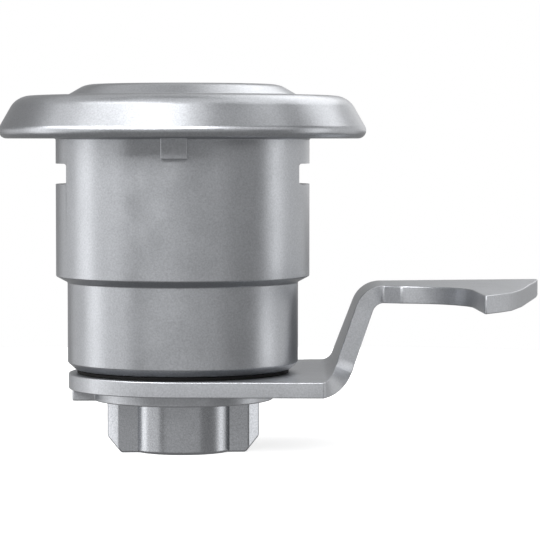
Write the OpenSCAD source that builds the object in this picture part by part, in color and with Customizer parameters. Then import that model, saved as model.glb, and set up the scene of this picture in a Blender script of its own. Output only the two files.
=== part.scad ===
// Lever lock: a round flanged cylinder lock that turns a cranked, hooked lever by a quarter turn.
// Millimetres. The axis is Z and the front face looks up. The origin lies on the axis, in the
// flange's underside, where the panel's face comes. The lever points along +X.

/* [Flange] */
// Diameter of the flange
flange_d = 45; // [42:0.5:50]
// Height of the flange's flat top above its seat
flange_h = 5.2; // [4.8:0.1:6.2]
// Radius of the flange's lower rim
rim_r = 1; // [0.5:0.1:1.3]
// Angle of the flange's sloping side above the panel
side_angle = 60; // [50:1:70]
// Radius of the shoulder between the sloping side and the flat top
shoulder_r = 2.6; // [1:0.1:3]
// Diameter of the flat top of the raised ring round the plug
ring_flat_d = 22.2; // [21.8:0.1:23]
// Height of the raised ring above the flange's flat top
ring_h = 1.4; // [1:0.1:2]
// Radius of the raised ring's outer edge
ring_edge_r = 2.8; // [1:0.1:3.2]
// Angle of the raised ring's sloping side
ring_angle = 30; // [20:1:45]
// Radius of the hollow corner where the raised ring meets the flange
ring_foot_r = 1.5; // [0.5:0.1:2.5]

/* [Barrel] */
// Diameter of the upper barrel, which fills the panel's cut-out
barrel_d = 31.1; // [29:0.1:33]
// Depth of the upper barrel below the flange
barrel_upper_l = 16.8; // [14:0.1:20]
// Diameter of the lower barrel
lower_d = 28.3; // [26.5:0.1:28.9]
// Height of the sloping step between the two
step_h = 0.75; // [0.4:0.05:1.5]
// Depth of the whole barrel below the flange
barrel_l = 28.2; // [27.4:0.1:32]
// Chamfer at the barrel's end, across
end_chamfer_w = 0.95; // [0.3:0.05:1.5]
// Chamfer at the barrel's end, along the axis
end_chamfer_h = 0.85; // [0.3:0.05:1.5]
// Depth below the flange at which each side notch starts
notch_z = 3.05; // [2:0.05:5]
// Height of each side notch
notch_h = 2.5; // [1.5:0.1:3.5]
// Depth of each side notch into the barrel
notch_depth = 1.55; // [0.8:0.05:2]
// Radius in the inner corners of each side notch
notch_r = 0.3; // [0.1:0.05:0.6]
// Turn of the two notches about the axis, in degrees
notch_turn = 2; // [-5:0.5:5]
// Width of the lug that keys the barrel in its panel
lug_w = 3.1; // [2:0.1:5]
// Height of the lug below the flange
lug_h = 2.45; // [1.5:0.05:2.8]
// How far the lug stands out of the barrel
lug_out = 0.9; // [0.5:0.1:1.5]
// Sideways offset of the lug from the middle
lug_shift = -0.5; // [-1:0.1:1]
// Thickness of the barrel's floor
floor_t = 3.7; // [3:0.1:4.5]

/* [Plug] */
// Diameter of the plug
plug_d = 17; // [16.6:0.1:17.4]
// Diameter of the plug's head
head_d = 19.2; // [18.8:0.1:20]
// Height of the plug's head with its cap
head_h = 2.5; // [2.3:0.1:2.8]
// How far the cap's face lies below the raised ring's top
face_drop = 0.7; // [0.3:0.1:1.2]
// Thickness of the steel cap on the plug's face
cap_t = 0.6; // [0.4:0.1:0.9]
// Width of the bevel round the mouth in the raised ring
mouth_bevel = 0.6; // [0.2:0.1:0.9]
// Width of the keyway
key_w = 2.4; // [1.8:0.1:2.6]
// Height of the keyway across the face
key_h = 8.6; // [7:0.1:9]
// Width of the two small ribs in the keyway's sides
key_rib_w = 1.4; // [0.8:0.1:2]
// How far each rib stands into the keyway
key_rib_out = 0.5; // [0.2:0.1:0.7]
// Depth of the keyway below the flange's seat
key_depth = 16.2; // [15.8:0.1:16.8]
// Clearance round a turning or sliding piece
fit = 0.05; // [0.03:0.01:0.08]

/* [Wafers] */
// Distance from one wafer to the next
wafer_pitch = 2.5; // [2.4:0.05:2.6]
// Depth of the first wafer's middle below the flange's seat
wafer_first_z = 1.9; // [1.8:0.1:2.1]
// Thickness of a wafer
wafer_t = 1.2; // [0.9:0.05:1.3]
// Width of a wafer
wafer_w = 6.4; // [6:0.1:6.6]
// Travel of a wafer out of the plug
wafer_travel = 0.8; // [0.5:0.05:0.9]
// Width of the window in a wafer
window_w = 2.8; // [2.7:0.1:3.2]
// Length of the lug that a wafer's spring pushes
spring_lug_l = 1.8; // [1.5:0.1:2]
// Thickness of that lug along the spring
spring_lug_t = 1.2; // [0.8:0.1:1.5]
// Outer diameter of a wafer's spring
spring_d = 1.7; // [1.4:0.1:1.8]
// Diameter of the spring's wire
wire_d = 0.3; // [0.2:0.05:0.35]
// Length of a spring with its wafer flush
spring_l = 4.4; // [3.5:0.1:5]
// Number of turns in a spring
spring_turns = 5; // [4:1:6]

/* [Shutter] */
// Thickness of the shutter's flap
flap_t = 0.7; // [0.5:0.05:0.8]
// Length of the shutter along the keyway
flap_l = 9.2; // [8.8:0.1:9.6]
// Distance from the plug's axis to the shutter's pin
hinge_x = 2.6; // [2.5:0.05:2.8]
// Diameter of the shutter's pin
hinge_pin_d = 0.8; // [0.6:0.1:1]
// Outer diameter of the shutter's hinge sleeve
hinge_d = 1.7; // [1.5:0.1:1.8]
// Length of the torsion spring beside the hinge sleeve
torsion_l = 1.5; // [1.2:0.1:2]

/* [Seals and pins] */
// Thickness of the plug's ring seal
plug_seal_d = 1.1; // [0.9:0.05:1.2]
// Depth of the plug's ring seal below its head
plug_seal_drop = 1.5; // [1.3:0.1:1.7]
// Thickness of the spindle's ring seal
spindle_seal_d = 0.84; // [0.7:0.02:0.9]
// Diameter of the cross pin that holds the plug
cross_pin_d = 2; // [1.6:0.1:2.2]
// Depth of the cross pin's middle below the flange's seat
cross_pin_z = 18.7; // [18.5:0.1:18.9]
// Depth of the groove for the cross pin in the plug
cross_groove = 1.2; // [0.8:0.1:1.6]
// Diameter of the stop pin
stop_pin_d = 1.8; // [1.4:0.1:2]
// Radius at which the stop pin turns
stop_pin_r = 6.7; // [6.6:0.05:6.9]
// Depth of the stop pin's groove in the floor
stop_groove = 1.5; // [1:0.1:2]
// Turn from locked to open, in degrees
turn = 90; // [60:5:90]

/* [Spindle] */
// Diameter of the spindle's shaft
shaft_d = 10; // [9.6:0.1:10.4]
// Width across the flats of the spindle's square
square_w = 8; // [7.6:0.1:8.2]
// Diameter of the spindle's threaded end
stud_d = 7.8; // [7:0.1:7.8]
// Thickness of the spindle's flange
spindle_flange_t = 3.4; // [3.2:0.1:3.6]
// Width of the plug's tang
tang_w = 5; // [4:0.1:6]
// Height of the plug's tang
tang_h = 2; // [1.4:0.1:2.2]
// How far the threaded end stops short of the nut's end
stud_short = 1.2; // [0.6:0.1:2]

/* [Lever] */
// Thickness of the black washer under the barrel
washer_t = 0.5; // [0.3:0.05:1]
// Diameter of the black washer
washer_d = 26; // [22:0.5:26.2]
// Thickness of the lever's hub
hub_t = 1.9; // [1.6:0.05:2.2]
// Thickness of the lever's arm
arm_t = 2.2; // [1.8:0.05:2.4]
// Radius of the lever's hub
hub_r = 14.05; // [13:0.05:15]
// Distance from the axis to the lever's first bend
bend_x = 17.3; // [16.8:0.1:19]
// Rise of the lever's arm over its hub
rise = 10.3; // [8:0.1:12]
// Angle of the rise
rise_angle = 69; // [60:0.5:75]
// Inner radius of the first bend
bend_1_r = 1.6; // [1:0.1:2]
// Inner radius of the second bend
bend_2_r = 1.5; // [1:0.1:2]
// Reach of the lever's arm from the axis
arm_reach = 45.8; // [43:0.1:50]
// Angle at which the back edge of the hub leaves its circle
hub_flare = 15; // [12:0.5:18]
// Distance of the arm's back edge behind the axis, at the second bend
arm_back = 18.1; // [17:0.1:20]
// Angle at which the arm's back edge spreads
arm_flare = 10; // [5:0.5:12]
// Distance of the waist's deepest point behind the axis, at the foot of the second bend
waist_back = 7.7; // [6:0.1:9]
// Distance of the neck's front edge behind the axis
neck_front = 4.9; // [3:0.1:6]
// Distance from the axis to the point of the hook, along the arm
hook_x = 35.9; // [35:0.1:38]
// Distance of the hook's point in front of the axis
hook_y = 15.2; // [12:0.1:17]
// Radius of the round bay between the neck and the hook
bay_r = 7.2; // [5:0.1:7.6]

/* [Tab washer and nut] */
// Radius of the tab washer's disc
disc_r = 11.1; // [10:0.1:12]
// Thickness of the tab washer
disc_t = 1.4; // [1:0.05:1.5]
// Reach of the tab from the axis
tab_reach = 13.3; // [12.8:0.1:15]
// Width of the tab
tab_w = 6.2; // [4:0.1:8]
// Diameter of the nut's boss
nut_d = 12.8; // [11:0.1:14]
// Height of the nut
nut_h = 6.3; // [5:0.1:8]
// Span of the nut across its wings
wing_span = 18.6; // [17:0.1:20]
// Thickness of the nut's wings
wing_t = 6.2; // [5:0.1:7]
// Upright chamfer on the wings' corners
wing_chamfer = 1.4; // [0.5:0.1:2]
// Height of the slanted corner under each wing
wing_foot_h = 1.9; // [1:0.1:2.5]
// Width of the slanted corner under each wing
wing_foot_w = 1.5; // [1:0.1:2.5]
// Size of the small round-off at the end of that corner
wing_toe = 0.5; // [0.2:0.1:0.8]
// Turn of the tightened nut about the axis, in degrees
nut_turn = 3; // [-30:1:30]

/* [Hidden] */
$fn = 96;
eps = 0.01;
far = 100;
wafer_n = 6;

flange_r = flange_d / 2;
barrel_r = barrel_d / 2;
lower_r = lower_d / 2;
plug_r = plug_d / 2;
bore_r = plug_r + fit;
head_r = head_d / 2;
ring_top_z = flange_h + ring_h;
face_z = ring_top_z - face_drop;
cap_z = face_z - cap_t;
cap_bevel = 0.25;
head_z = face_z - head_h;
floor_z = floor_t - barrel_l;
shaft_r = shaft_d / 2;
stud_r = stud_d / 2;

flange_seat_z = floor_z + fit;
spindle_top_z = flange_seat_z + spindle_flange_t;
tang_z = spindle_top_z - tang_h + 2 * fit;
plug_end_z = spindle_top_z + 2 * fit;

washer_z = -barrel_l - washer_t;
lever_z = washer_z - hub_t;
disc_z = lever_z - disc_t;
nut_z = disc_z - nut_h;
arm_z = washer_z + rise;

flap_drop = 1.4;
flap_z = cap_z - flap_drop;
hinge_z = flap_z - 0.2;
flap_edge_x = -key_w / 2 - 0.3;
flap_reach = hinge_x - flap_edge_x;
pocket_x = hinge_x + hinge_d / 2 + 0.15;
pocket_y = flap_l / 2 + 0.3;
pocket_z = hinge_z - flap_reach - 0.3;
pocket_top_z = hinge_z + hinge_d / 2 + 0.1;

spring_x = wafer_w / 2 + 1.1;
spring_bore_r = spring_d / 2 + 0.15;
spring_foot_y = -3.9;
groove_w = wafer_w + 0.5;
groove_r = plug_r + wafer_travel + 0.3;
groove_top_z = -wafer_first_z + wafer_t / 2 + 0.6;
groove_end_z = -wafer_first_z - wafer_pitch * (wafer_n - 1) - wafer_t / 2 - 0.6;

plug_seal_z = head_z - plug_seal_drop;
spindle_seal_z = floor_z - floor_t / 2;
stop_pin_angle = 200;

// Points on an arc about [x, y], from angle a to angle b
function arc(x, y, r, a, b, steps = 8) =
    [for (i = [0 : steps]) let (t = a + (b - a) * i / steps) [x + r * cos(t), y + r * sin(t)]];

// Height of each wafer's middle, and the side to which its spring pushes it
function wafer_z(i) = -wafer_first_z - wafer_pitch * i;
function wafer_side(i) = i % 2 == 0 ? 1 : -1;
// Height of each wafer's window below the axis, which is the key's cut there
function key_cut(i) = key_h / 2 - 0.3 - 0.45 * ((i * 2) % 3);

// A round wire swept along a path that is never parallel to the axis given
function path_dir(p, i) = let (a = p[max(i - 1, 0)], b = p[min(i + 1, len(p) - 1)]) (b - a) / norm(b - a);
function wire_ring(c, d, r, sides, axis) =
    let (u = cross(d, axis) / norm(cross(d, axis)), v = cross(u, d))
    [for (k = [0 : sides - 1]) c + r * cos(360 * k / sides) * u + r * sin(360 * k / sides) * v];
// A closed skin over n rings of points, all with the same number of sides
module skin(points, n, sides) {
    walls = [for (i = [0 : n - 2]) for (k = [0 : sides - 1]) let (m = (k + 1) % sides) each [
        [i * sides + k, (i + 1) * sides + m, (i + 1) * sides + k],
        [i * sides + k, i * sides + m, (i + 1) * sides + m]
    ]];
    caps = [
        [for (k = [sides - 1 : -1 : 0]) k],
        [for (k = [0 : sides - 1]) (n - 1) * sides + k]
    ];
    polyhedron(points, concat(walls, caps), convexity = 8);
}
module wire(path, r, axis, sides = 6) {
    n = len(path);
    skin([for (i = [0 : n - 1]) each wire_ring(path[i], path_dir(path, i), r, sides, axis)], n, sides);
}

// A cylinder between two heights, and a ring of round section
module disc(r, low, high) {
    translate([0, 0, low]) cylinder(r = r, h = high - low);
}
module ring(r, section_d, z) {
    translate([0, 0, z]) rotate_extrude() translate([r, 0]) circle(d = section_d, $fn = 32);
}
// The keyway's section: a tall slot with a small rib on each side
module keyway(low, high, extra = 0) {
    translate([0, 0, low]) linear_extrude(high - low) difference() {
        square([key_w + 2 * extra, key_h + 2 * extra], center = true);
        for (s = [-1, 1])
            translate([s * (key_w / 2 + extra), s * key_h / 5])
                square([2 * key_rib_out, key_rib_w], center = true);
    }
}
// The spindle's square with its corners turned down to the shaft
module square_drive(low, high, extra = 0) {
    intersection() {
        disc(shaft_r + extra, low, high);
        translate([0, 0, (low + high) / 2])
            cube([square_w + 2 * extra, square_w + 2 * extra, high - low], center = true);
    }
}

// Half section of the flange above its seat, from the mouth outwards
module flange_section() {
    rim_x = flange_r - rim_r;
    rim_top = [rim_x + rim_r * sin(side_angle), rim_r + rim_r * cos(side_angle)];
    shoulder_z = flange_h - shoulder_r;
    shoulder_low = shoulder_z + shoulder_r * cos(side_angle);
    shoulder_x = rim_top[0] - (shoulder_low - rim_top[1]) / tan(side_angle) - shoulder_r * sin(side_angle);
    ring_x = ring_flat_d / 2;
    ring_z = ring_top_z - ring_edge_r;
    slope_top = [ring_x + ring_edge_r * sin(ring_angle), ring_z + ring_edge_r * cos(ring_angle)];
    foot_low = flange_h + ring_foot_r * (1 - cos(ring_angle));
    foot_x = slope_top[0] + (slope_top[1] - foot_low) / tan(ring_angle) + ring_foot_r * sin(ring_angle);
    polygon(concat(
        [[0, -1], [barrel_r - 1, -1], [barrel_r - 1, 0]],
        arc(rim_x, rim_r, rim_r, -90, 90 - side_angle, 10),
        arc(shoulder_x, shoulder_z, shoulder_r, 90 - side_angle, 90, 10),
        arc(foot_x, flange_h + ring_foot_r, ring_foot_r, 270, 270 - ring_angle, 5),
        arc(ring_x, ring_z, ring_edge_r, 90 - ring_angle, 90, 6),
        [[0, ring_top_z]]
    ));
}
// Half section of the stepped barrel
module barrel_section() {
    lower_z = -barrel_upper_l - step_h;
    polygon([
        [0, 0], [barrel_r, 0], [barrel_r, -barrel_upper_l], [lower_r, lower_z],
        [lower_r, end_chamfer_h - barrel_l], [lower_r - end_chamfer_w, -barrel_l], [0, -barrel_l]
    ]);
}
// Section of one side notch, open outwards along +X
module notch_section() {
    x = barrel_r - notch_depth;
    low = -notch_z - notch_h;
    polygon(concat(
        [[barrel_r + 1, low]],
        arc(x + notch_r, low + notch_r, notch_r, 270, 180, 4),
        arc(x + notch_r, -notch_z - notch_r, notch_r, 180, 90, 4),
        [[barrel_r + 1, -notch_z]]
    ));
}

module housing() {
    color("silver") difference() {
        union() {
            rotate_extrude() flange_section();
            rotate_extrude() barrel_section();
            translate([lug_shift - lug_w / 2, -barrel_r - lug_out, -lug_h])
                cube([lug_w, lug_out + 2, lug_h]);
        }
        disc(bore_r, floor_z, far);
        disc(head_r + fit, head_z, far);
        translate([0, 0, ring_top_z - mouth_bevel])
            cylinder(r1 = head_r + fit, r2 = head_r + fit + 2 * mouth_bevel, h = 2 * mouth_bevel);
        disc(shaft_r + fit, -far, floor_z + 1);
        for (a = [0, 180]) rotate([0, 0, a + notch_turn]) rotate([90, 0, 0])
            linear_extrude(2 * barrel_r, center = true) notch_section();
        for (a = [0, 90]) rotate([0, 0, a])
            translate([-groove_w / 2, -groove_r, groove_end_z])
                cube([groove_w, 2 * groove_r, groove_top_z - groove_end_z]);
        stop_groove();
        cross_hole();
    }
}
// Quarter-round groove in the floor, in which the stop pin runs
module stop_groove() {
    w = stop_pin_d / 2 + fit;
    translate([0, 0, floor_z - stop_groove]) rotate([0, 0, stop_pin_angle]) {
        rotate_extrude(angle = turn) translate([stop_pin_r - w, 0]) square([2 * w, stop_groove + eps]);
        for (a = [0, turn]) rotate([0, 0, a]) translate([stop_pin_r, 0, 0])
            cylinder(r = w, h = stop_groove + eps);
    }
}
module cross_hole() {
    translate([0, plug_r - 1, -cross_pin_z]) rotate([-90, 0, 0]) cylinder(d = cross_pin_d, h = lower_r);
}
module retaining_pin() {
    start = plug_r - cross_groove + 2 * fit;
    color("gainsboro") translate([0, start, -cross_pin_z]) rotate([-90, 0, 0])
        cylinder(d = cross_pin_d - 0.02, h = lower_r - 0.3 - start);
}

module plug() {
    color("goldenrod") difference() {
        union() {
            disc(head_r, head_z, cap_z);
            disc(plug_r, plug_end_z, head_z + eps);
            intersection() {
                disc(plug_r - 0.5, tang_z, plug_end_z + eps);
                translate([0, 0, tang_z]) cube([tang_w, far, 4 * tang_h], center = true);
            }
        }
        keyway(-key_depth, far);
        shutter_pocket();
        ring_groove(plug_r, plug_seal_z, plug_seal_d);
        translate([0, 0, -cross_pin_z]) rotate_extrude()
            translate([plug_r - cross_groove, -cross_pin_d / 2 - fit])
                square([cross_groove + 1, cross_pin_d + 2 * fit]);
        for (i = [0 : wafer_n - 1]) wafer_slot(i);
    }
}
// Square-sided groove for a ring seal in a round surface of radius r
module ring_groove(r, z, seal_d) {
    depth = seal_d + fit;
    translate([0, 0, z]) rotate_extrude()
        translate([r - depth, -seal_d / 2 - fit]) square([depth + 1, seal_d + 2 * fit]);
}
// Room behind the face for the shutter, its pin and its spring
module shutter_pocket() {
    translate([flap_edge_x - 0.15, -pocket_y, pocket_z])
        cube([pocket_x - flap_edge_x + 0.15, 2 * pocket_y, pocket_top_z - pocket_z]);
    translate([hinge_x, 0, hinge_z]) rotate([90, 0, 0])
        cylinder(d = hinge_pin_d, h = 2 * pocket_y + 1.6, center = true);
}
// Slot for one wafer, with the bore for its spring beside it
module wafer_slot(i) {
    s = wafer_side(i);
    slot_t = wafer_t + 2 * fit;
    translate([0, 0, wafer_z(i)]) {
        cube([wafer_w + 2 * fit, far, slot_t], center = true);
        rotate([0, 0, s > 0 ? 0 : 180]) {
            translate([0, 0.3, -slot_t / 2]) cube([spring_x, far, slot_t]);
            translate([spring_x, spring_foot_y, 0]) rotate([-90, 0, 0]) cylinder(r = spring_bore_r, h = far);
        }
    }
}

module wafer(i) {
    s = wafer_side(i);
    lug_y = spring_foot_y + spring_l;
    color("khaki") translate([0, 0, wafer_z(i) - wafer_t / 2]) rotate([0, 0, s > 0 ? 0 : 180])
        linear_extrude(wafer_t) difference() {
            union() {
                intersection() {
                    circle(r = plug_r - fit);
                    square([wafer_w, far], center = true);
                }
                translate([0, lug_y]) square([wafer_w / 2 + spring_lug_l, spring_lug_t]);
            }
            translate([-window_w / 2, -key_cut(i)]) square([window_w, key_cut(i) + key_h / 2 + 0.1]);
        }
}
// A compression spring along +Y from its foot, one unbroken wire
module wafer_spring(i) {
    s = wafer_side(i);
    steps = 10 * spring_turns;
    coil_r = (spring_d - wire_d) / 2;
    coil_l = spring_l - wire_d - 2 * fit;
    path = [for (k = [0 : steps]) let (a = 360 * spring_turns * k / steps)
        [coil_r * cos(a), coil_l * k / steps, coil_r * sin(a)]];
    color("dimgray") translate([0, 0, wafer_z(i)]) rotate([0, 0, s > 0 ? 0 : 180])
        translate([spring_x, spring_foot_y + wire_d / 2 + fit, 0]) wire(path, wire_d / 2, [0, 1, 0]);
}

module shutter() {
    sleeve_y = flap_l / 2 - torsion_l;
    color("silver") difference() {
        union() {
            translate([flap_edge_x, -flap_l / 2, flap_z - flap_t / 2]) cube([flap_reach, flap_l, flap_t]);
            translate([hinge_x, flap_l / 2, hinge_z]) rotate([90, 0, 0])
                cylinder(d = hinge_d, h = flap_l / 2 + sleeve_y);
        }
        translate([hinge_x, 0, hinge_z]) rotate([90, 0, 0])
            cylinder(r = hinge_pin_d / 2 + fit, h = far, center = true);
        translate([hinge_x - hinge_d / 2 - 0.1, -flap_l / 2 - 1, flap_z - flap_t])
            cube([hinge_d, torsion_l + 1, 2 * flap_t]);
    }
}
module shutter_pin() {
    color("gainsboro") translate([hinge_x, 0, hinge_z]) rotate([90, 0, 0])
        cylinder(d = hinge_pin_d - 0.02, h = 2 * pocket_y + 1.4, center = true);
}
// A torsion spring of two turns and two straight legs round the shutter's pin
module shutter_spring() {
    coil_r = hinge_pin_d / 2 + 0.25;
    turns = 2;
    pitch = 0.42;
    steps = 12 * turns;
    leg = 1.4;
    coil = [for (k = [0 : steps]) let (a = 360 * turns * k / steps)
        [coil_r * cos(a - 90), pitch * turns * k / steps, coil_r * sin(a - 90)]];
    path = concat([[-leg, 0, -coil_r]], coil, [[leg / 2, pitch * turns, -coil_r]]);
    color("dimgray") translate([hinge_x, -flap_l / 2 + 0.25, hinge_z]) wire(path, wire_d * 0.4, [0, 1, 0]);
}

module face_cap() {
    color("lightgray") difference() {
        union() {
            disc(head_r - fit, cap_z, face_z - cap_bevel);
            translate([0, 0, face_z - cap_bevel])
                cylinder(r1 = head_r - fit, r2 = head_r - fit - cap_bevel, h = cap_bevel);
        }
        keyway(-1, far);
    }
}
module plug_o_ring() {
    color("black") ring(plug_r - (plug_seal_d + fit) / 2, plug_seal_d - fit, plug_seal_z);
}

module spindle() {
    stud_end = nut_z + stud_short;
    thread_top = disc_z;
    color("silver") difference() {
        union() {
            disc(plug_r - fit, flange_seat_z, spindle_top_z);
            disc(shaft_r, washer_z, flange_seat_z + eps);
            square_drive(thread_top, washer_z + eps);
            disc(stud_r, stud_end + 0.5, thread_top + eps);
            translate([0, 0, stud_end]) cylinder(r1 = stud_r - 0.5, r2 = stud_r, h = 0.5 + eps);
        }
        translate([0, 0, spindle_top_z]) cube([tang_w + 2 * fit, far, 2 * tang_h], center = true);
        ring_groove(shaft_r, spindle_seal_z, spindle_seal_d);
        rotate([0, 0, stop_pin_angle]) translate([stop_pin_r, 0, 0])
            disc(stop_pin_d / 2, -far, spindle_top_z + eps);
    }
}
module spindle_o_ring() {
    color("black") ring(shaft_r - (spindle_seal_d + fit) / 2, spindle_seal_d - fit, spindle_seal_z);
}
module stop_pin() {
    color("gainsboro") rotate([0, 0, stop_pin_angle]) translate([stop_pin_r, 0, 0])
        disc(stop_pin_d / 2 - 0.01, floor_z - stop_groove + 0.2, spindle_top_z - tang_h - 0.1);
}

module glide_washer() {
    color("black") difference() {
        disc(washer_d / 2, washer_z, -barrel_l);
        disc(shaft_r + 2 * fit, -far, far);
    }
}

// The rise of the lever is a flat blank bent twice. A station on it runs from 0 to 1 through the
// first bend, to 2 up the slope and to 3 through the second bend.
bend_2_out = bend_2_r + arm_t;
slope_h = rise - (bend_1_r + bend_2_out) * (1 - cos(rise_angle));
bend_2_x = bend_x + (bend_1_r + bend_2_out) * sin(rise_angle) + slope_h / tan(rise_angle);
hub_corner = hub_r + 0.4;
hub_back = hub_r / cos(hub_flare) + (bend_x - 1.4) * tan(hub_flare);
function station_t(u) = hub_t + (arm_t - hub_t) * min(u, 1);
function bend_1_at(u, r) = [bend_x + r * sin(rise_angle * u), washer_z + bend_1_r - r * cos(rise_angle * u)];
function bend_2_at(u, r) =
    [bend_2_x - r * sin(rise_angle * (3 - u)), arm_z - bend_2_out + r * cos(rise_angle * (3 - u))];
function top_at(u) = u <= 1 ? bend_1_at(u, bend_1_r) : u >= 2 ? bend_2_at(u, bend_2_out)
    : top_at(1) + (u - 1) * (top_at(2) - top_at(1));
function under_at(u) = u <= 1 ? bend_1_at(u, bend_1_r + station_t(u)) : u >= 2 ? bend_2_at(u, bend_2_r)
    : under_at(1) + (u - 1) * (under_at(2) - under_at(1));
// Front edge: share of the way from the hub's corner to the waist's deepest point
function front_at(u) = u > 2 ? waist_back - (u - 2) * 1.9 : -hub_corner + (hub_corner + waist_back)
    * lookup(u, [[0, 0.02], [0.2, 0.156], [0.5, 0.354], [0.8, 0.544], [1, 0.648], [1.3, 0.765],
        [1.5, 0.842], [1.8, 0.965], [1.92, 0.995], [2, 1]]);
function back_at(u) = hub_back + (arm_back - hub_back) * u / 3;
module lever_rise() {
    stations = concat([for (k = [0 : 12]) k / 12], [1.15, 1.3, 1.5, 1.65, 1.8, 1.92],
        [for (k = [0 : 12]) 2 + k / 12]);
    skin([for (u = stations) let (t = top_at(u), b = under_at(u), f = front_at(u), g = back_at(u))
        each [[t[0], f, t[1]], [t[0], g, t[1]], [b[0], g, b[1]], [b[0], f, b[1]]]], len(stations), 4);
}
// Plan of the hub: round, with its back edge spreading towards the bend
module hub_plan() {
    polygon(concat(
        arc(0, 0, hub_r, 90 + hub_flare, 270, 32),
        [[bend_x - 0.2, -hub_corner], [bend_x, front_at(0)], [bend_x, hub_back], [bend_x - 1.4, hub_back]]
    ));
}
// Plan of the arm: short neck, round bay and a hook that opens towards -Y
module arm_plan() {
    back_far = arm_back + (arm_reach - bend_2_x) * tan(arm_flare);
    polygon(concat(
        [[bend_2_x, front_at(3)], [bend_2_x + 2.2, neck_front]],
        arc(hook_x - 0.7 - bay_r, neck_front - bay_r, bay_r, 90, 3, 12),
        [[hook_x - 0.05, 0.3 - hook_y], [hook_x + 0.2, -hook_y], [hook_x + 2.2, 3.2 - hook_y]],
        [[hook_x + 3.8, 7 - hook_y], [hook_x + 5.7, 15.2 - hook_y]],
        [[arm_reach - 0.6, back_far - 4.6], [arm_reach, back_far - 0.4], [arm_reach - 0.4, back_far]],
        [[bend_2_x, back_at(3)]]
    ));
}
module cam_lever() {
    color("silver") difference() {
        union() {
            translate([0, 0, lever_z]) linear_extrude(hub_t) hub_plan();
            lever_rise();
            translate([0, 0, arm_z - arm_t]) linear_extrude(arm_t) arm_plan();
        }
        square_drive(-far, far, fit);
    }
}

module tab_washer() {
    color("silver") difference() {
        union() {
            disc(disc_r, disc_z, lever_z);
            translate([-tab_reach, -tab_w / 2, disc_z]) cube([tab_reach, tab_w, disc_t]);
        }
        square_drive(-far, far, fit);
    }
}

module clamp_nut() {
    span = wing_span / 2;
    half = wing_t / 2;
    toe_x = span - wing_foot_w;
    color("silver") rotate([0, 0, nut_turn]) difference() {
        union() {
            disc(nut_d / 2, nut_z, disc_z);
            intersection() {
                translate([0, 0, nut_z]) linear_extrude(nut_h) polygon([
                    [-span, half - wing_chamfer], [wing_chamfer - span, half],
                    [span - wing_chamfer, half], [span, half - wing_chamfer],
                    [span, wing_chamfer - half], [span - wing_chamfer, -half],
                    [wing_chamfer - span, -half], [-span, wing_chamfer - half]
                ]);
                rotate([90, 0, 0]) linear_extrude(2 * wing_t, center = true) polygon([
                    [-span, disc_z], [-span, nut_z + wing_foot_h],
                    [-toe_x, nut_z + wing_toe / 2], [wing_toe - toe_x, nut_z],
                    [toe_x - wing_toe, nut_z], [toe_x, nut_z + wing_toe / 2],
                    [span, nut_z + wing_foot_h], [span, disc_z]
                ]);
            }
        }
        disc(stud_r + fit, -far, far);
        translate([0, 0, nut_z - eps]) cylinder(r1 = stud_r + 0.6, r2 = stud_r, h = 0.6);
    }
}

housing();
retaining_pin();
plug();
face_cap();
shutter();
shutter_pin();
shutter_spring();
plug_o_ring();
spindle();
spindle_o_ring();
stop_pin();
glide_washer();
cam_lever();
tab_washer();
clamp_nut();
for (i = [0 : wafer_n - 1]) {
    wafer(i);
    wafer_spring(i);
}
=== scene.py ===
import math
import bmesh
import bpy
from mathutils import Matrix, Vector


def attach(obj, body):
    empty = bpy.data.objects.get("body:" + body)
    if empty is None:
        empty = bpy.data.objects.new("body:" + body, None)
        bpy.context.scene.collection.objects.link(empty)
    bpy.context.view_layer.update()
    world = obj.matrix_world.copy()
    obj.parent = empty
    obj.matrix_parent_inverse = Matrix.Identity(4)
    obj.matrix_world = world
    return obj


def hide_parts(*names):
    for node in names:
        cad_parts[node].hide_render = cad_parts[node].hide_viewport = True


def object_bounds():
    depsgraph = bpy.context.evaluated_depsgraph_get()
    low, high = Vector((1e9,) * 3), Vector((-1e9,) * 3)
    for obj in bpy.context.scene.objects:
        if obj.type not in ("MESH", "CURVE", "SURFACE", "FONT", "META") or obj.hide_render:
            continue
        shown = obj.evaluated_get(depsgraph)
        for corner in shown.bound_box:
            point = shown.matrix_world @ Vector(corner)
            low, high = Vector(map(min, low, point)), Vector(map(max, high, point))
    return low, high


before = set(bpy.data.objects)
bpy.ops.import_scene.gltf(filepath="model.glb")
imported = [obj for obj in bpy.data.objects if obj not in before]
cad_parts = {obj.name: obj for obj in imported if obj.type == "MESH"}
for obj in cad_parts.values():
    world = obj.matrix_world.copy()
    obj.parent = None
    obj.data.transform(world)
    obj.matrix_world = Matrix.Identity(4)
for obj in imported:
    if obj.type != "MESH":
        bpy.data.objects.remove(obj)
cad_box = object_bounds()


# Housing: a zinc die casting, a round flange with a raised ring round the plug and a stepped
# barrel below it. It is turned true on its outside, plated satin, and cut on both sides for a
# clip. A small lug under the flange keys it in the panel.
MM = 0.001
FLANGE_R, FLANGE_H, RING_TOP = 22.49, 5.2, 6.6
RING_R, RING_FOOT_R, TOP_R, NOSE_Z = 11.85, 14.275, 20.23, 1.268
BARREL_R, LOWER_R, BARREL_L = 15.55, 14.15, 28.2
STEP_Z, LOWER_Z, END_IN, END_UP = -16.8, -17.55, 0.95, 0.85
MOUTH_R, MOUTH_CUT, HEAD_Z, BORE_R, FLOOR_Z, SHAFT_R = 9.65, 0.6, 3.4, 8.55, -24.5, 5.05
LUG_LOW, LUG_HIGH, LUG_EDGE = (-2.05, -16.45, -2.45), (1.05, -14, 0.3), 0.13
NOTCH_X, NOTCH_TOP, NOTCH_LOW, NOTCH_TURN = 14.0, -3.05, -5.55, 2.0
NOTCH_OUT, NOTCH_SIDE, NOTCH_ROUND = 6, 12, 0.3
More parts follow.
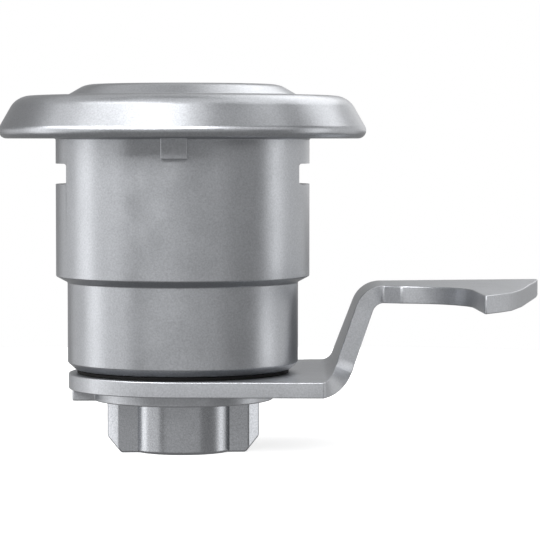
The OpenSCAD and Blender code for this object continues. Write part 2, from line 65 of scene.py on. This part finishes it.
SLOT_W, SLOT_R, SLOT_TOP, SLOT_LOW = 3.45, 9.6, -0.7, -15.6
PIN_R, PIN_Y, PIN_Z, PIN_RUN = 1.0, 14, -18.7, 12


def edge_angle(edge):
    """The angle between an edge's two faces, and 0 where it hasn't two."""
    return edge.calc_face_angle(0) if len(edge.link_faces) == 2 else 0


def spun_section(corners, steps=192):
    """A closed section of (radius, height, run-out of the rounded corner), spun about the axis."""
    bm = bmesh.new()
    verts = [bm.verts.new((r, 0, z)) for r, z, _ in corners]
    for a, b in zip(verts, verts[1:] + verts[:1]):
        bm.edges.new((a, b))
    for vert, (_, _, run) in zip(verts, corners):
        if run:
            bmesh.ops.bevel(bm, geom=[vert], offset=run, segments=3 if run < 0.35 else 12,
                            affect="VERTICES", profile=0.5, material=-1)
    bmesh.ops.spin(bm, geom=bm.verts[:] + bm.edges[:], cent=(0, 0, 0), axis=(0, 0, 1),
                   angle=math.tau, steps=steps, use_merge=True)
    bmesh.ops.remove_doubles(bm, verts=bm.verts, dist=1e-4)
    bmesh.ops.recalc_face_normals(bm, faces=bm.faces)
    return bm


def block(low, high, bevel=0.0, segments=2):
    """A block between two corners, its edges broken where a bevel is given."""
    bm = bmesh.new()
    bmesh.ops.create_cube(bm, size=1)
    size = [b - a for a, b in zip(low, high)]
    bmesh.ops.scale(bm, vec=size, verts=bm.verts)
    bmesh.ops.translate(bm, vec=[(a + b) / 2 for a, b in zip(low, high)], verts=bm.verts)
    if bevel:
        bmesh.ops.bevel(bm, geom=bm.edges[:], offset=bevel, segments=segments,
                        affect="EDGES", profile=0.5, material=-1)
    return bm


def worked(bm, tools):
    """The piece after each tool has been cut out of it, or joined on."""
    def loose(shape, name):
        mesh = bpy.data.meshes.new(name)
        shape.to_mesh(mesh)
        shape.free()
        obj = bpy.data.objects.new(name, mesh)
        bpy.context.scene.collection.objects.link(obj)
        return obj
    piece = loose(bm, "work")
    helpers = [loose(tool, "tool") for _, tool in tools]
    for (operation, _), helper in zip(tools, helpers):
        cut = piece.modifiers.new("cut", "BOOLEAN")
        cut.operation, cut.solver, cut.object = operation, "EXACT", helper
    bpy.context.view_layer.update()
    graph = bpy.context.evaluated_depsgraph_get()
    result = bpy.data.meshes.new_from_object(piece.evaluated_get(graph))
    out = bmesh.new()
    out.from_mesh(result)
    bmesh.ops.remove_doubles(out, verts=out.verts, dist=1e-4)
    for obj in [piece] + helpers:
        bpy.data.objects.remove(obj)
    return out


def made(name, bm, body, material, stands_for, sharp=38):
    """Brings a piece from millimetres to metres and puts it on the body that carries it."""
    bmesh.ops.scale(bm, vec=(MM, MM, MM), verts=bm.verts)
    for face in bm.faces:
        face.smooth = True
    for edge in bm.edges:
        edge.smooth = edge_angle(edge) < math.radians(sharp)
    mesh = bpy.data.meshes.new(name)
    bm.to_mesh(mesh)
    bm.free()
    mesh.materials.append(material)
    obj = bpy.data.objects.new(name, mesh)
    bpy.context.scene.collection.objects.link(obj)
    flat = obj.modifiers.new("flat faces stay flat", "WEIGHTED_NORMAL")
    flat.keep_sharp, flat.weight = True, 100
    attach(obj, body)
    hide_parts(*stands_for)
    return obj


def satin_metal(name, colour, rough, speck=0.05, grain=5200, bump=0.05, brushed=None):
    """Plated metal: fine specks in tone, patches of gloss, and a faint grain in the surface."""
    mat = bpy.data.materials.new(name)
    mat.use_nodes = True
    nodes, links = mat.node_tree.nodes, mat.node_tree.links
    shader = nodes["Principled BSDF"]
    shader.inputs["Metallic"].default_value = 1.0
    place = nodes.new("ShaderNodeTexCoord")
    stretch = nodes.new("ShaderNodeMapping")
    stretch.inputs["Scale"].default_value = brushed or (1, 1, 1)
    links.new(place.outputs["Object"], stretch.inputs["Vector"])

    specks = nodes.new("ShaderNodeTexNoise")
    specks.inputs["Scale"].default_value = grain
    specks.inputs["Detail"].default_value = 2.5
    links.new(stretch.outputs["Vector"], specks.inputs["Vector"])
    tone = nodes.new("ShaderNodeValToRGB")
    dark, light = tone.color_ramp.elements
    for stop, share, at in ((dark, 1 - 3 * speck, 0.25), (light, 1 + 3 * speck, 0.75)):
        stop.position = at
        stop.color = (*[min(1, c * share) for c in colour], 1)
    links.new(specks.outputs["Fac"], tone.inputs["Fac"])
    links.new(tone.outputs["Color"], shader.inputs["Base Color"])

    patches = nodes.new("ShaderNodeTexNoise")
    patches.inputs["Scale"].default_value = 260
    patches.inputs["Detail"].default_value = 3
    links.new(place.outputs["Object"], patches.inputs["Vector"])
    gloss = nodes.new("ShaderNodeMapRange")
    gloss.inputs["From Min"].default_value = 0.3
    gloss.inputs["From Max"].default_value = 0.7
    gloss.inputs["To Min"].default_value = rough - 0.02
    gloss.inputs["To Max"].default_value = rough + 0.03
    links.new(patches.outputs["Fac"], gloss.inputs["Value"])
    links.new(gloss.outputs["Result"], shader.inputs["Roughness"])

    relief = nodes.new("ShaderNodeBump")
    relief.inputs["Strength"].default_value = bump
    relief.inputs["Distance"].default_value = 0.00002
    links.new(specks.outputs["Fac"], relief.inputs["Height"])
    links.new(relief.outputs["Normal"], shader.inputs["Normal"])
    return mat


ZINC = (0.39, 0.40, 0.42)
zinc = satin_metal("satin zinc", ZINC, 0.31)

casting = spun_section([
    (MOUTH_R, RING_TOP - MOUTH_CUT, 0.1), (MOUTH_R + MOUTH_CUT, RING_TOP, 0.12),
    (RING_R, RING_TOP, 0.75), (RING_FOOT_R, FLANGE_H, 0.402), (TOP_R, FLANGE_H, 1.5),
    (FLANGE_R, NOSE_Z, 0.268), (FLANGE_R, 0, 1), (BARREL_R, 0, 0.2), (BARREL_R, STEP_Z, 0.12),
    (LOWER_R, LOWER_Z, 0.12), (LOWER_R, END_UP - BARREL_L, 0.1),
    (LOWER_R - END_IN, -BARREL_L, 0.1), (SHAFT_R, -BARREL_L, 0), (SHAFT_R, FLOOR_Z, 0),
    (BORE_R, FLOOR_Z, 0), (BORE_R, HEAD_Z, 0), (MOUTH_R, HEAD_Z, 0),
])
lug = block(LUG_LOW, LUG_HIGH, LUG_EDGE, 3)
tools = [("UNION", lug)]
for side in (1, -1):
    notch = block((NOTCH_X, -NOTCH_SIDE, NOTCH_LOW),
                  (NOTCH_X + NOTCH_OUT, NOTCH_SIDE, NOTCH_TOP))
    inner = [e for e in notch.edges if all(abs(v.co.x - NOTCH_X) < 0.01 for v in e.verts)
             and abs(e.verts[0].co.z - e.verts[1].co.z) < 0.01]
    bmesh.ops.bevel(notch, geom=inner, offset=NOTCH_ROUND, segments=4, affect="EDGES",
                    profile=0.5, material=-1)
    turn = math.radians(NOTCH_TURN + (0 if side > 0 else 180))
    bmesh.ops.rotate(notch, cent=(0, 0, 0), verts=notch.verts,
                     matrix=Matrix.Rotation(turn, 3, "Z"))
    tools.append(("DIFFERENCE", notch))
# The wafers' grooves in the bore, crosswise, and the cross pin's hole in the back
for x, y in ((SLOT_W, SLOT_R), (SLOT_R, SLOT_W)):
    tools.append(("DIFFERENCE", block((-x, -y, SLOT_LOW), (x, y, SLOT_TOP))))
pin_hole = bmesh.new()
across = Matrix.Translation((0, PIN_Y, PIN_Z)) @ Matrix.Rotation(math.pi / 2, 4, "X")
bmesh.ops.create_cone(pin_hole, cap_ends=True, segments=48, radius1=PIN_R, radius2=PIN_R,
                      depth=PIN_RUN, matrix=across)
tools.append(("DIFFERENCE", pin_hole))
casting = worked(casting, tools)
made("housing_casting", casting, "housing", zinc, ["housing"])


# Glide washer: a thin black plastic ring between the barrel's end and the lever. It stays with the
# housing while the lever turns under it.
# Its near-black colour, darker than plastic under light, is also painted shade for the dark gap
# between the barrel and the lever.
WASHER_Z, WASHER_R, WASHER_BORE = -28.7, 13, 5.1
plastic_and_gap_shade = bpy.data.materials.new("black plastic")
plastic_and_gap_shade.use_nodes = True
nodes, links = plastic_and_gap_shade.node_tree.nodes, plastic_and_gap_shade.node_tree.links
shader = nodes["Principled BSDF"]
pits = nodes.new("ShaderNodeTexNoise")
pits.inputs["Scale"].default_value = 3000
where = nodes.new("ShaderNodeTexCoord")
links.new(where.outputs["Object"], pits.inputs["Vector"])
dark = nodes.new("ShaderNodeValToRGB")
# Painted shade: the ring is near black, darker than real black plastic, so it stands for the shade
# in the gap
dark.color_ramp.elements[0].color = (0.002, 0.002, 0.002, 1)
dark.color_ramp.elements[1].color = (0.006, 0.006, 0.006, 1)
links.new(pits.outputs["Fac"], dark.inputs["Fac"])
links.new(dark.outputs["Color"], shader.inputs["Base Color"])
shader.inputs["Roughness"].default_value = 0.6
shader.inputs["Specular IOR Level"].default_value = 0.08
ring = spun_section([(WASHER_BORE, WASHER_Z, 0), (WASHER_R, WASHER_Z, 0.12),
                     (WASHER_R, -BARREL_L, 0.12), (WASHER_BORE, -BARREL_L, 0)])
made("glide_ring", ring, "housing", plastic_and_gap_shade, ["glide_washer"])


# Lever: a stamped steel blank with a square hole, bent twice, with a hook at its end. It is drawn
# here as it is made: the flat blank first, its edges broken, then pressed to its side view.
HUB_R, HUB_CORNER, HUB_T, ARM_T, BLANK_T = 14.05, 14.45, 1.9, 2.2, 2.05
BEND_X, RISE, ANGLE, BEND_1, BEND_2 = 17.3, 10.3, math.radians(69), 1.6, 1.5
ARM_Z = WASHER_Z + RISE
BEND_2_OUT = BEND_2 + ARM_T
SLOPE_H = RISE - (BEND_1 + BEND_2_OUT) * (1 - math.cos(ANGLE))
BEND_2_X = BEND_X + (BEND_1 + BEND_2_OUT) * math.sin(ANGLE) + SLOPE_H / math.tan(ANGLE)
LENGTHS = ((BEND_1 + HUB_T / 2) * ANGLE, SLOPE_H / math.sin(ANGLE), (BEND_2 + ARM_T / 2) * ANGLE)
SQUARE, SQUARE_CORNER, BLANK_EDGE = 4.05, 1.03, 0.14
HUB_FLARE, FLARE_END = math.radians(15), BEND_X - 1.4
HUB_BACK = HUB_R / math.cos(HUB_FLARE) + FLARE_END * math.tan(HUB_FLARE)
WAIST, NECK, HOOK_X, HOOK_Y, REACH = 7.7, 4.9, 35.9, 15.2, 45.8
ARM_BACK, ARM_FLARE = 18.1, math.radians(10)


def blank_x(station):
    """A station's place along the flat blank: 0 to 1 first bend, to 2 slope, to 3 second bend."""
    whole = min(int(station), 2)
    return BEND_X + sum(LENGTHS[:whole]) + (station - whole) * LENGTHS[whole]


def pressed(x, depth):
    """Where a point of the blank comes in the side view, depth 0 on top and 1 underneath."""
    x -= BEND_X
    if x <= 0:
        return BEND_X + x, WASHER_Z - HUB_T * depth
    if x >= sum(LENGTHS):
        return BEND_2_X + x - sum(LENGTHS), ARM_Z - ARM_T * depth
    if x < LENGTHS[0]:
        share = x / LENGTHS[0]
        turn, r = ANGLE * share, BEND_1 + (HUB_T + (ARM_T - HUB_T) * share) * depth
        return BEND_X + r * math.sin(turn), WASHER_Z + BEND_1 - r * math.cos(turn)
    x -= LENGTHS[0]
    if x > LENGTHS[1]:
        back = ANGLE * (1 - (x - LENGTHS[1]) / LENGTHS[2])
        r = BEND_2_OUT - ARM_T * depth
        return BEND_2_X - r * math.sin(back), ARM_Z - BEND_2_OUT + r * math.cos(back)
    share = x / LENGTHS[1]
    r1, r2 = BEND_1 + ARM_T * depth, BEND_2_OUT - ARM_T * depth
    start = (BEND_X + r1 * math.sin(ANGLE), WASHER_Z + BEND_1 - r1 * math.cos(ANGLE))
    end = (BEND_2_X - r2 * math.sin(ANGLE), ARM_Z - BEND_2_OUT + r2 * math.cos(ANGLE))
    return tuple(a + (b - a) * share for a, b in zip(start, end))


def arc_start(bm, radius, start, sweep, steps):
    """A round edge about the axis, and its first and last points."""
    first = bm.verts.new((radius * math.cos(start), radius * math.sin(start), 0))
    last = bmesh.ops.spin(bm, geom=[first], cent=(0, 0, 0), axis=(0, 0, 1), angle=sweep,
                          steps=steps)
    return first, last["geom_last"][0]


def stamped(bm, first, last, corners, thickness, broken):
    """Closes an outline through (x, y, run-out) corners, stamps it out with the square hole and
    breaks its edges."""
    chain = [last]
    for x, y, _ in corners:
        chain.append(bm.verts.new((x, y, 0)))
    for a, b in zip(chain, chain[1:] + [first]):
        bm.edges.new((a, b))
    for vert, (_, _, run) in zip(chain[1:], corners):
        if run:
            bmesh.ops.bevel(bm, geom=[vert], offset=run, segments=3 if run < 1 else 14,
                            affect="VERTICES", profile=0.5, material=-1)
    square = [bm.verts.new((SQUARE * x, SQUARE * y, 0))
              for x, y in ((1, 1), (-1, 1), (-1, -1), (1, -1))]
    for a, b in zip(square, square[1:] + square[:1]):
        bm.edges.new((a, b))
    bmesh.ops.bevel(bm, geom=square, offset=SQUARE_CORNER, segments=3, affect="VERTICES",
                    profile=0.5, material=-1)
    bmesh.ops.triangle_fill(bm, use_beauty=True, edges=bm.edges[:])
    thick = bmesh.ops.extrude_face_region(bm, geom=bm.faces[:])
    down = [v for v in thick["geom"] if isinstance(v, bmesh.types.BMVert)]
    bmesh.ops.translate(bm, vec=(0, 0, -thickness), verts=down)
    bmesh.ops.recalc_face_normals(bm, faces=bm.faces)
    sharp = [e for e in bm.edges if edge_angle(e) > math.radians(35)]
    bmesh.ops.bevel(bm, geom=sharp, offset=broken, segments=3, affect="EDGES", profile=0.5,
                    material=-1)


steel = satin_metal("satin steel", (0.42, 0.43, 0.45), 0.38)
blank = bmesh.new()
start, end = arc_start(blank, HUB_R, math.radians(105), math.radians(165), 90)
# The front edge through the lower bend: station, share of the way to the waist, run-out
front = [(0, 0.02, 0.3), (0.5, 0.32, 0.5), (1, 0.61, 1.3)]
outline = [(BEND_X - 0.2, -HUB_CORNER, 0)]
outline += [(blank_x(u), (HUB_CORNER + WAIST) * share - HUB_CORNER, run)
            for u, share, run in front]
# The arm, which lies further along the flat blank than it will when the blank is bent
shift = blank_x(3) - BEND_2_X
back_far = ARM_BACK + (REACH - BEND_2_X) * math.tan(ARM_FLARE)
outline += [(x + shift, y, run) for x, y, run in (
    (BEND_2_X, NECK + 1, 0.2), (BEND_2_X + 2.2, NECK, 0.2), (HOOK_X - 0.85, NECK - 0.8, 7.7),
    (HOOK_X - 0.05, 0.3 - HOOK_Y, 0), (HOOK_X + 0.2, -HOOK_Y, 0),
    (HOOK_X + 2.2, 3.2 - HOOK_Y, 0), (HOOK_X + 3.8, 6.3 - HOOK_Y, 0),
    (HOOK_X + 5.7, 13.6 - HOOK_Y, 0), (REACH - 0.6, back_far - 4.6, 0),
    (REACH, back_far - 0.4, 0), (REACH - 0.4, back_far, 0), (BEND_2_X, ARM_BACK, 0))]
outline += [(BEND_X, HUB_BACK, 0), (FLARE_END, HUB_BACK, 0)]
stamped(blank, start, end, outline, BLANK_T, BLANK_EDGE)
# Cross lines at which the blank can bend
twelfths = [k / 12 for k in range(13)]
slope_lines = [1.15, 1.3, 1.5, 1.65, 1.8, 1.92]
for station in twelfths + slope_lines + [2 + k for k in twelfths]:
    bmesh.ops.bisect_plane(blank, geom=blank.verts[:] + blank.edges[:] + blank.faces[:],
                           dist=1e-4, plane_co=(blank_x(station), 0, 0), plane_no=(1, 0, 0))
for vert in blank.verts:
    x, z = pressed(vert.co.x, -vert.co.z / BLANK_T)
    vert.co = (x, vert.co.y, z)
bmesh.ops.recalc_face_normals(blank, faces=blank.faces)
made("lever_plate", blank, "rotor", steel, ["cam_lever"])


# Tab washer: a stamped steel disc under the lever, with one tab that keeps the nut from backing
# off. It has the same square hole as the lever.
LEVER_Z, DISC_T, DISC_R, TAB_X, TAB_Y, TAB_ROUND = -30.6, 1.4, 11.1, 13.45, 3.1, 0.25
DISC_EDGE = 0.18
tab = bmesh.new()
half = math.asin(TAB_Y / DISC_R)
start, end = arc_start(tab, DISC_R, math.pi + half, math.tau - 2 * half, 120)
tip = [(-TAB_X, TAB_Y, TAB_ROUND), (-TAB_X, -TAB_Y, TAB_ROUND)]
stamped(tab, start, end, tip, DISC_T, DISC_EDGE)
bmesh.ops.translate(tab, vec=(0, 0, LEVER_Z), verts=tab.verts)
made("tab_plate", tab, "rotor", steel, ["tab_washer"])


# Nut: a die-cast zinc nut with a round boss and two blunt wings, each with a slanted foot.
NUT_TOP, NUT_Z, NUT_R, SPAN, WING, CUT = -32.0, -38.3, 6.4, 9.3, 3.1, 1.4
FOOT_H, FOOT_RUN, FOOT_RISE, NUT_TURN = 1.9, 1.5, 1.65, math.radians(3)
THREAD_R, BORE_IN_R, BORE_OUT_R, BORE_LOW, BORE_HIGH = 3.95, 4.65, 7.85, -45, -25
NUT_EDGE, BOSS_IN = 0.22, 2
wings = block((-SPAN, -WING, NUT_Z), (SPAN, WING, NUT_TOP))
upright = [e for e in wings.edges if abs(e.verts[0].co.z - e.verts[1].co.z) > 1]
bmesh.ops.bevel(wings, geom=upright, offset=CUT, segments=1, affect="EDGES", profile=0.5,
                material=-1)
for side in (1, -1):
    foot = bmesh.ops.bisect_plane(wings, geom=wings.verts[:] + wings.edges[:] + wings.faces[:],
                                  dist=1e-4, plane_co=(side * SPAN, 0, NUT_Z + FOOT_H),
                                  plane_no=(side * FOOT_RISE, 0, -FOOT_RUN), clear_outer=True)
    rim = [e for e in foot["geom_cut"] if isinstance(e, bmesh.types.BMEdge)]
    bmesh.ops.edgeloop_fill(wings, edges=rim)
bmesh.ops.recalc_face_normals(wings, faces=wings.faces)
corners = [e for e in wings.edges if edge_angle(e) > math.radians(20)]
bmesh.ops.bevel(wings, geom=corners, offset=NUT_EDGE, segments=3, affect="EDGES", profile=0.5,
                material=-1)
bmesh.ops.rotate(wings, cent=(0, 0, 0), verts=wings.verts,
                 matrix=Matrix.Rotation(NUT_TURN, 3, "Z"))
bore = spun_section([(0.01, BORE_LOW, 0), (BORE_OUT_R, BORE_LOW, 0),
                     (BORE_IN_R, NUT_Z - 0.1, 0), (THREAD_R, NUT_Z + 0.6, 0),
                     (THREAD_R, BORE_HIGH, 0), (0.01, BORE_HIGH, 0)], 96)
boss = spun_section([(BOSS_IN, NUT_Z, 0), (NUT_R, NUT_Z, 0.4), (NUT_R, NUT_TOP, 0.1),
                     (BOSS_IN, NUT_TOP, 0)], 160)
nut = worked(boss, [("UNION", wings), ("DIFFERENCE", bore)])
nut_zinc = satin_metal("nut zinc", ZINC, 0.23)
made("wing_nut", nut, "rotor", nut_zinc, ["clamp_nut"])


# Plug and face: a turned brass plug with a brushed steel cap pressed over its head, a keyway
# through both, and a sprung steel shutter behind the face that keeps dirt out.
# Each finish: colour, roughness, then how strong the specks, fine the grain and deep the bump
brass = satin_metal("turned brass", (0.72, 0.56, 0.27), 0.3, 0.03, 900, 0.03, (1, 1, 9))
cap_steel = satin_metal("brushed cap", (0.62, 0.63, 0.65), 0.28, 0.05, 700, 0.04, (1, 9, 1))
bright = satin_metal("bright pins", (0.66, 0.67, 0.69), 0.25, 0.03, 1500, 0.02)
wire = satin_metal("spring wire", (0.42, 0.42, 0.44), 0.35, 0.05, 2500, 0.04)
leaf = satin_metal("stamped brass", (0.74, 0.59, 0.32), 0.33, 0.04, 1600, 0.03)
rubber = plastic_and_gap_shade.copy()
rubber.name = "seal rubber"
FACE_Z, CAP_Z, CAP_R = 5.9, 5.3, 9.55
KEY_X, KEY_Y, RIB_X, RIB_Y, RIB_AT = 1.2, 4.3, 0.5, 0.7, 1.72
SLIT_LOW, SLIT_HIGH = 4, 7
cap = spun_section([(0.02, CAP_Z, 0), (CAP_R, CAP_Z, 0), (CAP_R, FACE_Z, 0.25), (0.02, FACE_Z, 0)])
slit = block((-KEY_X, -KEY_Y, SLIT_LOW), (KEY_X, KEY_Y, SLIT_HIGH))
ribs = [block((side * KEY_X - RIB_X, side * RIB_AT - RIB_Y, SLIT_LOW),
              (side * KEY_X + RIB_X, side * RIB_AT + RIB_Y, SLIT_HIGH)) for side in (1, -1)]
slit = worked(slit, [("DIFFERENCE", rib) for rib in ribs])
cap = worked(cap, [("DIFFERENCE", slit)])
made("face_plate", cap, "rotor", cap_steel, ["face_cap"])
# The pieces that hardly show keep the solids' own shape and get their finish here
finishes = {"plug": brass, "spindle": steel, "shutter": bright, "shutter_pin": bright,
            "stop_pin": bright, "retaining_pin": bright, "shutter_spring": wire,
            "plug_o_ring": rubber, "spindle_o_ring": rubber}
for i in range(1, 7):
    finishes[f"wafer_{i}"] = leaf
    finishes[f"wafer_spring_{i}"] = wire
for node, finish in finishes.items():
    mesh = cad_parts[node].data
    mesh.materials.clear()
    mesh.materials.append(finish)


# Studio: a round white floor under the nut, a white backdrop, and boxes and strips of light all
# round. The floor is left out of the metal's mirror image, and the backdrop shows there at a
# reduced share, since the real metal mirrors little of either.
FLOOR_R, FLOOR_GLOW = 0.16, 0.74
ROOM_LEVEL, BACKDROP_SHARE, BACKDROP_FROM, BACKDROP_TO = 0.32, 0.15, 0.93, 0.98


def mirror_rays(nodes, links, rays):
    """Adds up the rays that metal and glass send out."""
    seen = nodes.new("ShaderNodeMath")
    links.new(rays.outputs["Is Glossy Ray"], seen.inputs[0])
    links.new(rays.outputs["Is Transmission Ray"], seen.inputs[1])
    return seen.outputs["Value"]


floor_bm = bmesh.new()
bmesh.ops.create_circle(floor_bm, cap_ends=True, segments=96, radius=FLOOR_R)
bmesh.ops.translate(floor_bm, vec=(0, 0, cad_box[0][2]), verts=floor_bm.verts)
floor_mesh = bpy.data.meshes.new("floor")
floor_bm.to_mesh(floor_mesh)
floor_bm.free()
floor = bpy.data.objects.new("floor", floor_mesh)
bpy.context.scene.collection.objects.link(floor)
floor.visible_glossy = floor.visible_diffuse = floor.visible_shadow = False
paper = bpy.data.materials.new("white paper")
paper.use_nodes = True
nodes, links = paper.node_tree.nodes, paper.node_tree.links
shader = nodes["Principled BSDF"]
shader.inputs["Base Color"].default_value = (0.5, 0.5, 0.5, 1)
shader.inputs["Roughness"].default_value = 0.9
rays = nodes.new("ShaderNodeLightPath")
shown = nodes.new("ShaderNodeMath")
shown.use_clamp = True
links.new(mirror_rays(nodes, links, rays), shown.inputs[0])
links.new(rays.outputs["Is Camera Ray"], shown.inputs[1])
share = nodes.new("ShaderNodeMath")
share.operation = "MULTIPLY"
share.inputs[1].default_value = FLOOR_GLOW
links.new(shown.outputs["Value"], share.inputs[0])
glow = nodes.new("ShaderNodeEmission")
links.new(share.outputs["Value"], glow.inputs["Strength"])
both = nodes.new("ShaderNodeAddShader")
links.new(shader.outputs["BSDF"], both.inputs[0])
links.new(glow.outputs["Emission"], both.inputs[1])
links.new(both.outputs["Shader"], nodes["Material Output"].inputs["Surface"])
floor_mesh.materials.append(paper)

world = bpy.data.worlds.new("studio")
bpy.context.scene.world = world
world.use_nodes = True
nodes, links = world.node_tree.nodes, world.node_tree.links
back = nodes["Background"]
back.inputs["Color"].default_value = (1, 1, 1, 1)
rays = nodes.new("ShaderNodeLightPath")
way = nodes.new("ShaderNodeTexCoord")
parts = nodes.new("ShaderNodeSeparateXYZ")
links.new(way.outputs["Generated"], parts.inputs["Vector"])
behind = nodes.new("ShaderNodeMapRange")
behind.inputs["From Min"].default_value = BACKDROP_FROM
behind.inputs["From Max"].default_value = BACKDROP_TO
behind.inputs["To Max"].default_value = BACKDROP_SHARE
links.new(parts.outputs["Y"], behind.inputs["Value"])
backdrop = nodes.new("ShaderNodeMath")
backdrop.operation = "MULTIPLY_ADD"
links.new(mirror_rays(nodes, links, rays), backdrop.inputs[0])
links.new(behind.outputs["Result"], backdrop.inputs[1])
links.new(rays.outputs["Is Camera Ray"], backdrop.inputs[2])
room = nodes.new("ShaderNodeMapRange")
room.name = "room level"
room.inputs["To Min"].default_value = ROOM_LEVEL
room.inputs["To Max"].default_value = 1.0
links.new(backdrop.outputs["Value"], room.inputs["Value"])
links.new(room.outputs["Result"], back.inputs["Strength"])

# Each lamp: name, turn from the camera's side to the right, rise, width and height as seen from
# the lock, all in degrees, and its level
MIDDLE, AWAY = Vector((0.005, 0, -0.012)), 0.6
for name, turn, rise, wide, high, level in (
        ("left strip", -98, -4, 22, 46, 0.36),
        ("wide left strip", -74, -4, 44, 40, 0.18),
        ("left box", -72, 28, 44, 18, 1.1),
        ("front left box", -33, 28, 50, 22, 2.6),
        ("front box", 8, 28, 30, 18, 1.5),
        ("low front box", 0, -12, 80, 20, 0.08),
        ("right front box", 48, 20, 44, 28, 0.2),
        ("right strip", 94, -6, 14, 46, 0.26),
        ("wide right strip", 112, 0, 64, 40, 0.14),
        ("right back box", 140, 38, 50, 26, 0.5),
        ("low left back box", -126, -6, 28, 24, 0.14),
        ("left back box", -145, 50, 60, 26, 0.12),
        ("overhead box", -20, 84, 40, 40, 0.2),
        ("top left box", -45, 62, 58, 18, 0.7),
        ("top right box", 118, 62, 58, 20, 0.34),
        ("low right back box", 156, 10, 22, 22, 0.2)):
    turn, rise, wide, high = map(math.radians, (turn, rise, wide, high))
    lamp = bpy.data.lights.new(name, "AREA")
    lamp.shape = "RECTANGLE"
    lamp.size = 2 * AWAY * math.tan(wide / 2)
    lamp.size_y = 2 * AWAY * math.tan(high / 2)
    lamp.energy = 4 * math.pi * lamp.size * lamp.size_y * level
    towards = Vector((math.sin(turn) * math.cos(rise), -math.cos(turn) * math.cos(rise),
                      math.sin(rise)))
    light = bpy.data.objects.new(name, lamp)
    light.location = MIDDLE + AWAY * towards
    light.rotation_euler = (-towards).to_track_quat("-Z", "Y").to_euler()
    bpy.context.scene.collection.objects.link(light)

# The photograph's camera: a long lens that looks slightly down on the flange
EYE, LOOKS_DOWN, TURNED, SENSOR, LENS = (0.010776, -0.32, -0.00019), 2.8547, 0.013, 36, 173.74
eye = bpy.data.cameras.new("camera")
eye.sensor_width, eye.lens, eye.clip_start = SENSOR, LENS, 0.01
camera = bpy.data.objects.new("camera", eye)
camera.location = EYE
camera.rotation_euler = (math.radians(90 - LOOKS_DOWN), 0, math.radians(TURNED))
bpy.context.scene.collection.objects.link(camera)
bpy.context.scene.camera = camera
bpy.context.scene.view_settings.view_transform = "Standard"
